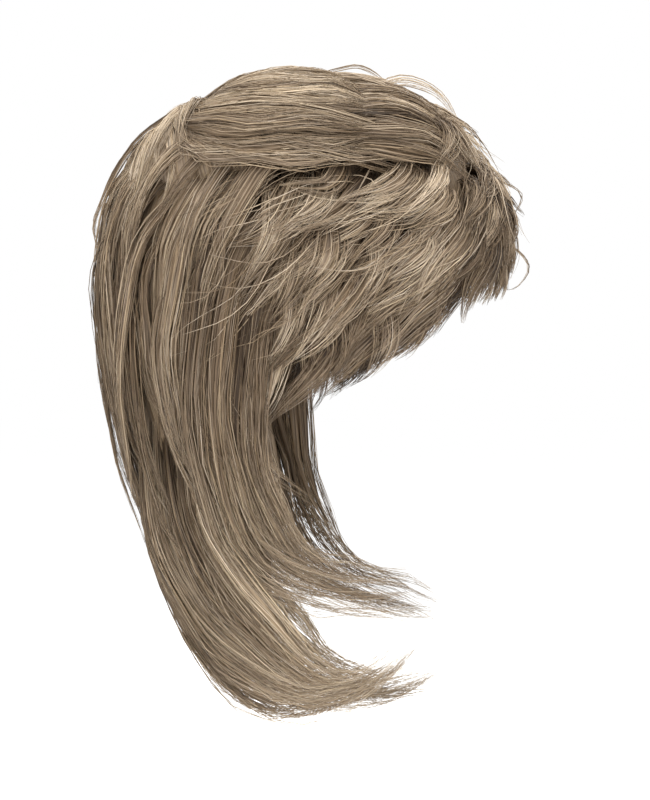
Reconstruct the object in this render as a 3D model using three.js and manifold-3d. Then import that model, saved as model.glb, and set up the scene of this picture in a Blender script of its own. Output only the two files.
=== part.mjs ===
// A short layered wig with bangs and longer nape lengths, in the form it has when worn.
// Millimetres, +Z up. The face looks along -Y and the wearer's left is +X.
// The origin is the inside of the cap's crown, where the top of the head touches it.
import * as THREE from "three";
import { mergeVertices } from "three/addons/utils/BufferGeometryUtils.js";
import Module from "manifold-3d";

const wasm = await Module();
wasm.setup();

// Driving dimensions of the head that wears it and of the cap
const HEAD_HALF_BREADTH = 76;
const HEAD_HALF_LENGTH = 96;
const HEAD_RISE = 95; // from the widest level of the head up to its top
const CAP_WALL = 2;
const CAP_COLUMNS = 32;
const CAP_ROWS = 7;

// Fit of the pieces to each other
const PIECE_GAP = 0.4; // between two masses of hair that lie on each other
const SEAT_GAP = 1.2; // between the cap's true curve and the hair that stands on it
const SEAM_ANGLE = 0.25; // half the gap between two neighbouring masses, in degrees
const EDGE_GAP = 0.03; // gap between two masses, one below the other, in levels
const LEVELS_PER_MM = 0.035;
const DEGREES_PER_MM = 0.7;

// Hair space: azimuth in degrees (0 at the face, 90 over the wearer's left ear), level counted
// down the sections below, and depth from 0 on the cap to 1 on the outermost hair.
const DOME_LEVELS = 5; // levels 0 to 5 run from the top of the head to its widest level
const CORE_BELOW = [
  { z: -122, half: 76, front: 92, back: 94 },
  { z: -150, half: 70, front: 84, back: 86 },
  { z: -182, half: 61, front: 74, back: 72 },
  { z: -225, half: 58, front: 66, back: 62 },
  { z: -262, half: 58, front: 66, back: 56 },
  { z: -300, half: 61, front: 68, back: 50 },
  { z: -340, half: 64, front: 70, back: 44 },
];
const HAIR_SECTIONS = [
  { z: 48, centre: 12, half: 0, front: 0, back: 0 },
  { z: 44, centre: 11, half: 38, front: 36, back: 37 },
  { z: 32, centre: 9, half: 70, front: 64, back: 70 },
  { z: 10, centre: 6, half: 91, front: 89, back: 99 },
  { z: -22, centre: 3, half: 102, front: 107, back: 122 },
  { z: -60, centre: 0, half: 106, front: 115, back: 133 },
  { z: -105, centre: 0, half: 103, front: 114, back: 131 },
  { z: -150, centre: 0, half: 97, front: 105, back: 127 },
  { z: -190, centre: 0, half: 90, front: 95, back: 118 },
  { z: -228, centre: 0, half: 86, front: 88, back: 106 },
  { z: -262, centre: 0, half: 82, front: 84, back: 92 },
  { z: -300, centre: 0, half: 80, front: 82, back: 76 },
  { z: -340, centre: 0, half: 78, front: 80, back: 52 },
];

// The rim of the cap: hairline, temple, ear tab, over the ear, behind the ear, nape
const CAP_RIM = [
  { azimuth: 0, level: 3.9 },
  { azimuth: 35, level: 4.1 },
  { azimuth: 58, level: 5.1 },
  { azimuth: 72, level: 6.2 },
  { azimuth: 90, level: 5.7 },
  { azimuth: 106, level: 6.0 },
  { azimuth: 130, level: 7.1 },
  { azimuth: 155, level: 7.8 },
  { azimuth: 180, level: 7.9 },
];

// The edges of the masses of hair, by azimuth
const CROWN_EDGE = [
  { azimuth: 0, level: 2.3 },
  { azimuth: 30, level: 2.5 },
  { azimuth: 60, level: 3.0 },
  { azimuth: 120, level: 3.3 },
  { azimuth: 180, level: 3.1 },
];
const FACE_EDGE = [
  { azimuth: 0, level: 5.3 },
  { azimuth: 30, level: 5.45 },
  { azimuth: 60, level: 5.9 },
  { azimuth: 80, level: 6.35 },
  { azimuth: 98, level: 6.9 },
  { azimuth: 112, level: 7.6 },
];
const BACK_EDGE = [
  { azimuth: 96, level: 8.7 },
  { azimuth: 130, level: 9.3 },
  { azimuth: 180, level: 9.7 },
];
const NAPE_TOP = 6.9;
const NAPE_EDGE = [
  { azimuth: 110, level: 11.2 },
  { azimuth: 140, level: 11.3 },
  { azimuth: 180, level: 11.0 },
];

// The upright seams between the masses, by level
const FRONT_SEAM = [
  { level: 2.5, azimuth: 42 },
  { level: 6.0, azimuth: 54 },
];
const BACK_SEAM = [
  { level: 3.0, azimuth: 112 },
  { level: 6.6, azimuth: 110 },
  { level: 7.6, azimuth: 103 },
  { level: 8.6, azimuth: 101 },
  { level: 9.4, azimuth: 103 },
  { level: 10.4, azimuth: 113 },
  { level: 11.4, azimuth: 120 },
];

// Each mass is a mantle whose outer and inner faces run through three depths: top, middle, bottom
const MANTLES = {
  bangs: { columns: 8, rows: 5, outer: [0.74, 0.88, 0.6], inner: [0, 0, 0.1] },
  side: { columns: 5, rows: 5, outer: [0.74, 0.86, 0.42], inner: [0, 0, 0.06] },
  back: { columns: 10, rows: 7, outer: [0.76, 0.9, 0.84], inner: [0, 0.03, 0.5] },
  nape: { columns: 12, rows: 6, outer: [0.1, 0.42, 0.84], inner: [0, 0.05, 0.3] },
};
const CROWN_DEPTH = { top: 0.88, rim: 0.78 };
const CROWN_COLUMNS = 24;
const CROWN_ROWS = 5;

// Locks: a bundle with a flat underside and a ridge, that narrows to its tip
const LOCK_SIDES = 3;
const LOCK_STEPS = 5;
const TAIL_STEPS = 6;
const LOCK_ROOT_SHARE = 0.5; // width at the root over the widest width
const LOCK_TIP_SHARE = 0.08;
const LOCK_BELLY = 0.4; // where along the lock it is widest
const LOCK_NARROWING = 1.7; // power of the narrowing from there to the tip
const LOCK_GROWTH = { across: 4, out: 2 }; // what moves its flat faces out by one

// The crown's locks fan out from its whorl to these tips, along counted on the way as seen from above
const WHORL_Y = 84;
const CROWN_TIPS = [
  { azimuth: 0, level: 3.1 },
  { azimuth: 60, level: 3.8 },
  { azimuth: 120, level: 4.3 },
  { azimuth: 180, level: 4.9 },
];
const CROWN_LOCKS = {
  count: 14, reach: 167, width: 44, thick: 14, along: [0.01, 0.38, 0.7], depth: [0.82, 0.88, 0.93], bow: 12,
};

// Locks in tiers, upper tiers first. Each lock is laid through four points. Azimuth is that of the tier's
// first and last lock at each point, along counts from the mass's upper edge to its lower one, and
// every other lock is moved down by the stagger.
const TIERS = {
  bangs: [
    { count: 5, width: 40, thick: 14, stagger: 0.1, first: [-32, -38, -48, -62], last: [32, 38, 48, 62],
      along: [-0.1, 0.16, 0.4, 0.68], depth: [0.66, 1.0, 1.04, 1.02] },
    { count: 6, width: 36, thick: 12, stagger: 0.08, first: [-38, -44, -54, -66], last: [38, 44, 54, 66],
      along: [0.3, 0.58, 0.82, 1.06], depth: [0.66, 0.96, 0.98, 0.74] },
  ],
  side: [
    { count: 4, width: 40, thick: 14, stagger: 0.09, first: [46, 54, 66, 82], last: [96, 102, 110, 118],
      along: [-0.06, 0.18, 0.38, 0.6], depth: [0.66, 0.97, 1.0, 1.0] },
    { count: 4, width: 38, thick: 13, stagger: 0.08, first: [48, 54, 64, 78], last: [98, 103, 110, 116],
      along: [0.28, 0.5, 0.68, 0.86], depth: [0.66, 0.95, 0.96, 0.86] },
    { count: 4, width: 28, thick: 10, stagger: 0.04, first: [56, 61, 68, 77], last: [97, 100, 103, 106],
      along: [0.56, 0.76, 0.91, 1.04], depth: [0.5, 0.74, 0.68, 0.48] },
  ],
  back: [
    { count: 6, width: 46, thick: 14, stagger: 0.07,
      first: [115, 124, 129, 126], last: [245, 236, 231, 234],
      along: [-0.04, 0.24, 0.52, 0.8], depth: [0.66, 0.98, 1.0, 0.98] },
    { count: 7, width: 42, thick: 13, stagger: 0.06,
      first: [114, 117, 112, 100], last: [246, 243, 248, 260],
      along: [0.26, 0.56, 0.83, 1.1], depth: [0.66, 0.96, 0.97, 0.92] },
  ],
  nape: [
    { count: 5, width: 42, thick: 12, stagger: 0.04,
      first: [128, 128, 124, 116], last: [232, 232, 236, 244],
      along: [0.5, 0.72, 0.9, 1.04], depth: [0.36, 0.66, 0.86, 0.88] },
  ],
};

// The ends that sweep forward round each side of the neck, upper first
const TAILS = {
  back: [
    { width: 26, thick: 10, azimuth: [114, 106, 88, 52], level: [7.4, 8.9, 9.85, 9.95],
      depth: [0.7, 0.72, 0.66, 0.55] },
    { width: 30, thick: 10, azimuth: [124, 113, 92, 50], level: [8.2, 9.5, 10.15, 10.2],
      depth: [0.7, 0.76, 0.72, 0.6] },
  ],
  nape: [
    { width: 28, thick: 9, azimuth: [132, 116, 94, 62], level: [9.9, 10.9, 11.4, 11.45],
      depth: [0.5, 0.72, 0.8, 0.76] },
    { width: 32, thick: 10, azimuth: [148, 112, 76, 40], level: [10.5, 11.5, 11.65, 11.05],
      depth: [0.7, 0.85, 0.88, 0.8] },
  ],
};
const LEFT_TIP = { forward: 20, down: 0.4 }; // how far past the right tails' tips the left ones end

const COLOURS = {
  cap: 0x4a3c30,
  crown_hair: 0x92816f,
  bangs: 0x8a7763,
  side_hair: 0x84715e,
  back_hair: 0x776655,
  nape_hair: 0x7d6a57,
};
const HAIR_ROUGHNESS = 0.6;

const WELD = 1e-5; // vertices closer than this are one, before a geometry is bent
const HALVINGS = 24; // steps of the search for a level

// A value of a table of rows, straight between rows and held at its ends.
function lookUp(rows, from, to, at) {
  const next = rows.findIndex((row) => row[from] > at);
  if (next === 0) return rows[0][to];
  if (next < 0) return rows[rows.length - 1][to];
  const [before, after] = [rows[next - 1], rows[next]];
  return THREE.MathUtils.lerp(before[to], after[to], (at - before[from]) / (after[from] - before[from]));
}

// The level of an edge at an azimuth. Both sides of the face are alike.
function edgeLevel(rows, azimuth) {
  const turn = Math.abs(THREE.MathUtils.euclideanModulo(azimuth + 180, 360) - 180);
  return lookUp(rows, "azimuth", "level", turn);
}

function seamAzimuth(rows, level) {
  return lookUp(rows, "level", "azimuth", level);
}

// The section of the cap, or of the neck's clearance below it, at a whole level.
function coreSection(level, inset) {
  if (level > DOME_LEVELS) {
    const row = CORE_BELOW[Math.min(level - DOME_LEVELS, CORE_BELOW.length) - 1];
    const [half, front, back] = [row.half - inset, row.front - inset, row.back - inset];
    return { z: row.z, centre: 0, half, front, back };
  }
  const polar = (level / DOME_LEVELS) * (Math.PI / 2);
  const grown = CAP_WALL - inset;
  return {
    z: (HEAD_RISE + grown) * Math.cos(polar) - HEAD_RISE,
    centre: 0,
    half: (HEAD_HALF_BREADTH + grown) * Math.sin(polar),
    front: (HEAD_HALF_LENGTH + grown) * Math.sin(polar),
    back: (HEAD_HALF_LENGTH + grown) * Math.sin(polar),
  };
}

function hairSection(level) {
  return HAIR_SECTIONS[Math.min(level, HAIR_SECTIONS.length - 1)];
}

// The section at any level, on a smooth curve through the whole levels. Above the top it is mirrored.
function between(section, level) {
  const first = Math.floor(level);
  const rows = [-1, 0, 1, 2].map((step) => {
    const row = section(Math.abs(first + step));
    const sign = first + step < 0 ? -1 : 1;
    return { ...row, half: sign * row.half, front: sign * row.front, back: sign * row.back };
  });
  const t = level - first;
  const curve = (key) => {
    const [a, b, c, d] = rows.map((row) => row[key]);
    return b + 0.5 * t * (c - a + t * (2 * a - 5 * b + 4 * c - d + t * (3 * (b - c) + d - a)));
  };
  return {
    z: curve("z"),
    centre: curve("centre"),
    half: curve("half"),
    front: curve("front"),
    back: curve("back"),
  };
}

function onSection(section, azimuth) {
  const angle = THREE.MathUtils.degToRad(azimuth);
  const reach = Math.cos(angle) > 0 ? section.front : section.back;
  const y = section.centre - reach * Math.cos(angle);
  return new THREE.Vector3(section.half * Math.sin(angle), y, section.z);
}

// The point at an azimuth, level and depth of the hair.
function hairPoint(azimuth, level, depth) {
  const core = onSection(between((row) => coreSection(row, 0), level), azimuth);
  const outer = onSection(between(hairSection, level), azimuth);
  return core.lerp(outer, depth);
}

// The point of the crown's dome that lies over (x, y) when seen from above.
function crownPoint(x, y, depth) {
  let [low, high] = [0, DOME_LEVELS];
  let azimuth = 0;
  for (let halving = 0; halving < HALVINGS; halving += 1) {
    const level = (low + high) / 2;
    const section = between(hairSection, level);
    const ahead = (section.centre - y) / (y < section.centre ? section.front : section.back);
    const aside = x / section.half;
    azimuth = THREE.MathUtils.radToDeg(Math.atan2(aside, ahead));
    if (Math.hypot(aside, ahead) > 1) low = level;
    else high = level;
  }
  return hairPoint(azimuth, low, depth);
}

// Away from the head: straight out from its middle, or level and out from the neck.
function outwards(point) {
  const middle = new THREE.Vector3(0, 0, Math.min(point.z, -HEAD_RISE));
  return point.clone().sub(middle).normalize();
}

// A three.js geometry with each vertex moved by place(x, y, z), as one closed solid.
function bentSolid(geometry, place) {
  const plain = geometry.clone();
  plain.deleteAttribute("normal");
  plain.deleteAttribute("uv");
  const merged = mergeVertices(plain, WELD);
  const position = merged.attributes.position;
  const vertProperties = new Float32Array(position.count * 3);
  for (let i = 0; i < position.count; i += 1) {
    const moved = place(position.getX(i), position.getY(i), position.getZ(i));
    vertProperties.set([moved.x, moved.y, moved.z], i * 3);
  }
  const triVerts = new Uint32Array(merged.index.array);
  const make = () => new wasm.Manifold(new wasm.Mesh({ numProp: 3, vertProperties, triVerts }));
  const solid = make();
  if (solid.volume() > 0) return solid;
  for (let i = 0; i < triVerts.length; i += 3) {
    [triVerts[i + 1], triVerts[i + 2]] = [triVerts[i + 2], triVerts[i + 1]];
  }
  return make();
}

// A dome round the whole head: a lathe turned in hair space, with level as its radius.
function domeSolid(columns, rows, edge, inner, outer) {
  const profile = [];
  for (let row = 0; row <= rows; row += 1) profile.push(new THREE.Vector2(row / rows, 1));
  for (let row = rows; row >= 0; row -= 1) profile.push(new THREE.Vector2(row / rows, 0));
  return bentSolid(new THREE.LatheGeometry(profile, columns), (x, y, z) => {
    const azimuth = THREE.MathUtils.radToDeg(Math.atan2(x, z));
    const level = Math.hypot(x, z) * edge(azimuth);
    return y > 0.5 ? outer(azimuth, level) : inner(azimuth, level);
  });
}

// A row of three values, at the top, middle and bottom, read at a share of the way down.
function threePoints(values, share) {
  const piece = share < 0.5 ? 0 : 1;
  return THREE.MathUtils.lerp(values[piece], values[piece + 1], share * 2 - piece);
}

// A mass of hair over a range of azimuths: a box bent into hair space. Grown, it is larger all round.
function mantleSolid({ columns, rows, outer, inner }, { from, to, top, bottom }, grow) {
  const block = new THREE.BoxGeometry(1, 1, 1, columns, rows, 1);
  const seam = SEAM_ANGLE - grow * DEGREES_PER_MM;
  return bentSolid(block, (x, y, z) => {
    const down = 0.5 - y;
    const round = (level) => THREE.MathUtils.lerp(from(level) + seam, to(level) - seam, x + 0.5);
    const rough = round(THREE.MathUtils.lerp(top(0), bottom(0), down));
    const past = (down - 0.5) * 2 * grow * LEVELS_PER_MM;
    const level = THREE.MathUtils.lerp(top(rough), bottom(rough), down) + past;
    const place = hairPoint(round(level), level, threePoints(z > 0 ? outer : inner, down));
    return place.addScaledVector(outwards(place), z > 0 ? grow : SEAT_GAP - grow);
  });
}

// Width of a lock along its length, as a share of its widest width.
function lockTaper(t) {
  if (t < LOCK_BELLY) {
    return THREE.MathUtils.lerp(LOCK_ROOT_SHARE, 1, Math.sin((t / LOCK_BELLY) * (Math.PI / 2)));
  }
  const past = (t - LOCK_BELLY) / (1 - LOCK_BELLY);
  return THREE.MathUtils.lerp(1, LOCK_TIP_SHARE, past ** LOCK_NARROWING);
}

// One lock along a curve through its points: a cylinder flattened, tapered and bent.
function lockSolid({ points, width, thick, steps = LOCK_STEPS }, grow) {
  const curve = new THREE.CatmullRomCurve3(points);
  const bundle = new THREE.CylinderGeometry(1, 1, 1, LOCK_SIDES, steps);
  return bentSolid(bundle, (x, y, z) => {
    const t = 0.5 - y;
    const tangent = curve.getTangentAt(t);
    const centre = curve.getPointAt(t);
    const across = tangent.clone().cross(outwards(centre)).normalize();
    const out = across.clone().cross(tangent);
    const taper = lockTaper(t);
    return centre
      .addScaledVector(across, x * ((width / 2) * taper + grow * LOCK_GROWTH.across))
      .addScaledVector(out, z * ((thick / 2) * taper + grow * LOCK_GROWTH.out))
      .addScaledVector(tangent, (t - 0.5) * 2 * grow);
  });
}

// The locks of a tier, spread evenly from its first azimuths to its last ones.
function tierLocks({ count, width, thick, stagger, first, last, along, depth }, { top, bottom }, sign) {
  return Array.from({ length: count }, (_, i) => {
    const points = along.map((share, k) => {
      const azimuth = sign * THREE.MathUtils.lerp(first[k], last[k], i / (count - 1));
      const level = THREE.MathUtils.lerp(top(azimuth), bottom(azimuth), share + (i % 2) * stagger);
      return hairPoint(azimuth, level, depth[k]);
    });
    return { points, width, thick };
  });
}

function tailLock({ width, thick, azimuth, level, depth }, sign) {
  const points = level.map((row, k) => {
    const past = sign > 0 ? k / (level.length - 1) : 0;
    const turn = azimuth[k] - past * LEFT_TIP.forward;
    return hairPoint(sign * turn, row + past ** 2 * LEFT_TIP.down, depth[k]);
  });
  return { points, width, thick, steps: TAIL_STEPS };
}

function tailLocks(tails) {
  return [1, -1].flatMap((sign) => tails.map((tail) => tailLock(tail, sign)));
}

// The crown's locks, from the whorl out over its edge, each bowed away from the middle.
function crownLocks({ count, reach, width, thick, along, depth, bow }) {
  return Array.from({ length: count }, (_, i) => {
    const azimuth = THREE.MathUtils.lerp(-reach, reach, i / (count - 1));
    const side = Math.sin(THREE.MathUtils.degToRad(azimuth));
    const tip = hairPoint(azimuth, edgeLevel(CROWN_TIPS, azimuth), 1);
    const points = along.map((share, k) => {
      const x = tip.x * share + Math.sin(share * Math.PI) * bow * side;
      const y = THREE.MathUtils.lerp(WHORL_Y, tip.y, share);
      return crownPoint(x, y, depth[k]);
    });
    return { points: [...points, tip], width, thick };
  });
}

// A mass of hair: its mantle with the locks fused to it.
function fused(mantle, locks, grow) {
  return locks.reduce((solid, lock) => solid.add(lockSolid(lock, grow)), mantle);
}

function crownHair(grow) {
  const edge = (azimuth) => edgeLevel(CROWN_EDGE, azimuth) + grow * LEVELS_PER_MM;
  const face = (top, rim, out) => (azimuth, level) => {
    const place = hairPoint(azimuth, level, THREE.MathUtils.lerp(top, rim, level / edge(azimuth)));
    return place.addScaledVector(outwards(place), out);
  };
  const under = face(0, 0, SEAT_GAP - grow);
  const over = face(CROWN_DEPTH.top, CROWN_DEPTH.rim, grow);
  const mantle = domeSolid(CROWN_COLUMNS, CROWN_ROWS, edge, under, over);
  return fused(mantle, crownLocks(CROWN_LOCKS), grow);
}

// A mass below the crown: its range of azimuths and levels, its mantle, tiers and further locks.
function mass(range, mantle, tiers, grow, sign = 1, more = []) {
  const locks = tiers.flatMap((tier) => tierLocks(tier, range, sign));
  return fused(mantleSolid(mantle, range, grow), [...locks, ...more], grow);
}

const belowCrown = (azimuth) => edgeLevel(CROWN_EDGE, azimuth) + EDGE_GAP;
const faceEdge = (azimuth) => edgeLevel(FACE_EDGE, azimuth);
const frontSeam = (sign) => (level) => sign * seamAzimuth(FRONT_SEAM, level);
const backSeam = (sign) => (level) => sign * seamAzimuth(BACK_SEAM, level);
const behind = { from: backSeam(1), to: (level) => 360 + backSeam(-1)(level) };

function bangs(grow) {
  const range = { from: frontSeam(-1), to: frontSeam(1), top: belowCrown, bottom: faceEdge };
  return mass(range, MANTLES.bangs, TIERS.bangs, grow);
}

function sideHair(sign, grow) {
  const [from, to] = sign > 0 ? [frontSeam, backSeam] : [backSeam, frontSeam];
  const range = { from: from(sign), to: to(sign), top: belowCrown, bottom: faceEdge };
  return mass(range, MANTLES.side, TIERS.side, grow, sign);
}

function backHair(grow) {
  const range = { ...behind, top: belowCrown, bottom: (azimuth) => edgeLevel(BACK_EDGE, azimuth) };
  return mass(range, MANTLES.back, TIERS.back, grow, 1, tailLocks(TAILS.back));
}

function napeHair(grow) {
  const range = { ...behind, top: () => NAPE_TOP, bottom: (azimuth) => edgeLevel(NAPE_EDGE, azimuth) };
  return mass(range, MANTLES.nape, TIERS.nape, grow, 1, tailLocks(TAILS.nape));
}

// The cap: a stretch wall over the head, with its rim cut to the hairline, ears and nape.
function cap() {
  const rim = (azimuth) => edgeLevel(CAP_RIM, azimuth);
  const wall = (inset) => (azimuth, level) =>
    onSection(between((row) => coreSection(row, inset), level), azimuth);
  return domeSolid(CAP_COLUMNS, CAP_ROWS, rim, wall(CAP_WALL), wall(0));
}

// The largest body of a solid, without the crumbs that a cut leaves.
function largest(solid) {
  return solid.decompose().reduce((a, b) => (a.volume() > b.volume() ? a : b));
}

// Every piece from the outermost down, each cut clear of the ones that lie on it.
function assemble() {
  const makers = {
    crown_hair: crownHair,
    bangs,
    side_hair_right: (grow) => sideHair(-1, grow),
    side_hair_left: (grow) => sideHair(1, grow),
    back_hair: backHair,
    nape_hair: napeHair,
  };
  const cutters = [];
  const solids = { cap: cap() };
  for (const [name, make] of Object.entries(makers)) {
    solids[name] = largest(cutters.reduce((solid, cutter) => solid.subtract(cutter), make(0)));
    cutters.push(make(PIECE_GAP));
  }
  return solids;
}

function meshOf(name, solid) {
  const { vertProperties, triVerts } = solid.getMesh();
  const geometry = new THREE.BufferGeometry();
  geometry.setAttribute("position", new THREE.BufferAttribute(new Float32Array(vertProperties), 3));
  geometry.setIndex(new THREE.BufferAttribute(new Uint32Array(triVerts), 1));
  geometry.computeVertexNormals();
  const color = COLOURS[name.replace(/_(left|right)$/, "")];
  const material = new THREE.MeshStandardMaterial({ color, roughness: HAIR_ROUGHNESS, metalness: 0 });
  const mesh = new THREE.Mesh(geometry, material);
  mesh.name = name;
  return mesh;
}

const wig = new THREE.Group();
for (const [name, solid] of Object.entries(assemble())) wig.add(meshOf(name, solid));

export default wig;
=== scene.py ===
"""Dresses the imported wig: its hair in strands and locks, its cap in net, and a plain studio round it."""
import math
from collections import namedtuple

import bpy
import numpy as np
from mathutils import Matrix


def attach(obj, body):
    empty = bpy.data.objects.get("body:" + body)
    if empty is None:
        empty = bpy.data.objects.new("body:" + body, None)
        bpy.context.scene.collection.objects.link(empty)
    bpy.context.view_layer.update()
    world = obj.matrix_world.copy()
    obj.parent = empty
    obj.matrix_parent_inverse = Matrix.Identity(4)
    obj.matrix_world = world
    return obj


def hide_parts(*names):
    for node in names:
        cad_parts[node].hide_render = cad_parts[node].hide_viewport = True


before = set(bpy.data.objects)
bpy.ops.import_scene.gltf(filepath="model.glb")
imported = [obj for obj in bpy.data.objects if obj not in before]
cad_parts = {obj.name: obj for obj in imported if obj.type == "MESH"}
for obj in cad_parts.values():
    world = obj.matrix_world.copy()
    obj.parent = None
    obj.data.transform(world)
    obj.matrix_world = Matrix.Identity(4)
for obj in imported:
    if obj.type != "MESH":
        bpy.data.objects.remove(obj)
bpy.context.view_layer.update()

# Lengths in the tables are millimetres, as in the part's source, and the scene is in metres.
MM = 0.001

# The head that wears it and the cap
HEAD_HALF_BREADTH = 76.0
HEAD_HALF_LENGTH = 96.0
HEAD_RISE = 95.0
CAP_WALL = 2.0
DOME_LEVELS = 5
CAP_SEGMENTS = 96
CAP_RINGS = 48
NET_SHARE = 0.5
HEM_RADIUS = 1.5
HEM_ROUNDING = 3

# Hair space: azimuth from the face, level counted down these sections, depth from the cap to the outside
Section = namedtuple("Section", "z centre half front back")
CORE_BELOW = [
    Section(-122, 0, 76, 92, 94),
    Section(-150, 0, 70, 84, 86),
    Section(-182, 0, 61, 74, 72),
    Section(-225, 0, 58, 66, 62),
    Section(-262, 0, 58, 66, 56),
    Section(-300, 0, 61, 68, 50),
    Section(-340, 0, 64, 70, 44),
]
HAIR_SECTIONS = np.array([
    Section(48, 12, 0, 0, 0),
    Section(44, 11, 38, 36, 37),
    Section(32, 9, 70, 64, 70),
    Section(10, 6, 91, 89, 99),
    Section(-22, 3, 102, 107, 122),
    Section(-60, 0, 106, 115, 133),
    Section(-105, 0, 103, 114, 131),
    Section(-150, 0, 97, 105, 127),
    Section(-190, 0, 90, 95, 118),
    Section(-228, 0, 86, 88, 106),
    Section(-262, 0, 82, 84, 92),
    Section(-300, 0, 80, 82, 76),
    Section(-340, 0, 78, 80, 52),
], float)
LEVEL_HALVINGS = 24

# Edges of the cap and of the masses of hair: azimuths, then the level at each
CAP_RIM = ((0, 35, 58, 72, 90, 106, 130, 155, 180), (3.9, 4.1, 5.1, 6.2, 5.7, 6.0, 7.1, 7.8, 7.9))
CROWN_EDGE = ((0, 30, 60, 120, 180), (2.3, 2.9, 3.5, 3.4, 3.1))
CROWN_TIPS = ((0, 60, 120, 180), (3.1, 3.8, 4.3, 4.9))
FACE_EDGE = ((0, 18, 34, 60, 80, 98, 112), (5.3, 5.32, 5.5, 6.12, 6.6, 6.95, 7.6))
BACK_EDGE = ((96, 130, 180), (8.7, 9.3, 9.7))
NAPE_TOP = ((0, 180), (6.9, 6.9))
NAPE_EDGE = ((110, 140, 180), (11.2, 11.4, 11.5))
WHORL_Y = 84.0

# Tiers of locks, laid through points of hair space. Azimuth is that of a tier's first and last lock at each
# point, and along counts from the mass's upper edge to its lower one. Flick lifts the tips, and gather above
# one crowds the locks towards the middle of the tier.
Tier = namedtuple("Tier", "locks strands width thick first last along depth flick gather", defaults=(1.0,))
BANGS_TIERS = [
    Tier(15, 26, 15, 8, (-26, -28, -33, -44), (26, 28, 33, 44),
         (-.22, -.02, .15, .26), (.60, .90, 1.0, 1.0), 5, 1.2),
    Tier(19, 30, 16, 9, (-36, -39, -50, -72), (36, 39, 50, 72),
         (.26, .43, .57, .64), (.46, .88, 1.06, 1.04), 7, 1.2),
    Tier(19, 30, 16, 9, (-38, -41, -52, -76), (38, 41, 52, 76),
         (.38, .57, .73, .82), (.50, .92, 1.07, 1.0), 7, 1.2),
    Tier(19, 30, 15, 8, (-41, -45, -57, -78), (41, 45, 57, 78),
         (.50, .70, .86, .97), (.48, .86, .96, .84), 4, 1.1),
    Tier(25, 24, 13, 6, (-52, -56, -62, -72), (52, 56, 62, 72),
         (.58, .79, .94, 1.04), (.36, .62, .68, .54), 0),
    Tier(23, 16, 9, 5, (-30, -31, -33, -37), (30, 31, 33, 37),
         (.46, .66, .84, .97), (.44, .80, .88, .76), 2),
]
SIDE_TIERS = [
    Tier(14, 34, 16, 10, (40, 43, 50, 66), (104, 106, 110, 120),
         (-.03, .18, .38, .50), (.60, .80, 1.0, 1.06), 8),
    Tier(14, 34, 16, 10, (41, 43, 50, 68), (100, 102, 107, 117),
         (.27, .43, .58, .68), (.48, .86, 1.02, 1.03), 8),
    Tier(14, 34, 16, 9, (43, 45, 52, 70), (97, 99, 103, 112),
         (.42, .59, .75, .86), (.50, .87, .98, .95), 6),
    Tier(14, 30, 15, 8, (49, 51, 58, 73), (95, 97, 101, 108),
         (.57, .74, .89, 1.0), (.48, .77, .82, .72), 3),
    Tier(12, 25, 13, 6, (54, 57, 63, 72), (92, 94, 97, 102),
         (.66, .82, .95, 1.04), (.34, .55, .52, .38), 0),
]
BACK_TIERS = [
    Tier(26, 20, 15, 8, (98, 105, 113, 118), (262, 255, 247, 242),
         (-.34, -.04, .24, .50), (.46, .68, .96, 1.0), 2),
    Tier(17, 24, 18, 8, (101, 110, 117, 118), (259, 250, 243, 242),
         (-.06, .20, .46, .72), (.58, .92, 1.0, .99), 2),
    Tier(17, 24, 18, 8, (106, 115, 118, 111), (254, 245, 242, 249),
         (.14, .40, .66, .90), (.58, .92, .98, .95), 1),
    Tier(16, 24, 17, 7, (113, 118, 114, 102), (247, 242, 246, 258),
         (.36, .60, .84, 1.06), (.50, .84, .92, .88), 0),
    Tier(7, 20, 16, 7, (164, 164, 163, 162), (196, 196, 197, 198),
         (.24, .50, .76, 1.0), (.62, .90, .93, .90), 0),
]
NAPE_TIERS = [
    Tier(16, 22, 18, 7, (118, 121, 120, 112), (242, 239, 240, 248),
         (.10, .38, .62, .84), (.54, .72, .84, .90), 0),
    Tier(16, 24, 17, 7, (124, 126, 122, 112), (236, 234, 238, 248),
         (.30, .54, .78, .98), (.56, .74, .88, .92), 0),
    Tier(9, 24, 17, 7, (158, 156, 153, 148), (202, 204, 207, 212),
         (.46, .66, .86, 1.04), (.60, .84, .94, .94), 0),
]

# Loose strands without a body: those that cross over the locks, and the curtain inside the nape
BANGS_VEILS = [
    Tier(18, 3, 24, 10, (-36, -44, -58, -78), (36, 44, 58, 78),
         (.00, .25, .45, .58), (.84, 1.02, 1.06, 1.06), 5),
    Tier(18, 3, 24, 10, (-40, -48, -62, -82), (40, 48, 62, 82),
         (.30, .53, .72, .85), (.84, .98, 1.02, .98), 5),
]
SIDE_VEILS = [
    Tier(16, 3, 26, 10, (68, 71, 77, 87), (112, 115, 120, 127),
         (.07, .17, .28, .39), (.48, .80, .98, 1.02), 4),
    Tier(12, 3, 26, 10, (48, 52, 63, 86), (110, 114, 122, 136),
         (.28, .42, .55, .62), (.82, .98, 1.05, 1.07), 6),
    Tier(12, 3, 26, 10, (46, 51, 63, 84), (106, 110, 117, 127),
         (.44, .60, .75, .84), (.82, .96, 1.0, .98), 5),
]
NAPE_CURTAIN = [
    Tier(34, 9, 15, 4, (116, 114, 112, 110), (244, 246, 248, 250),
         (.02, .30, .60, .90), (.06, .10, .18, .32), 0),
]

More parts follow.
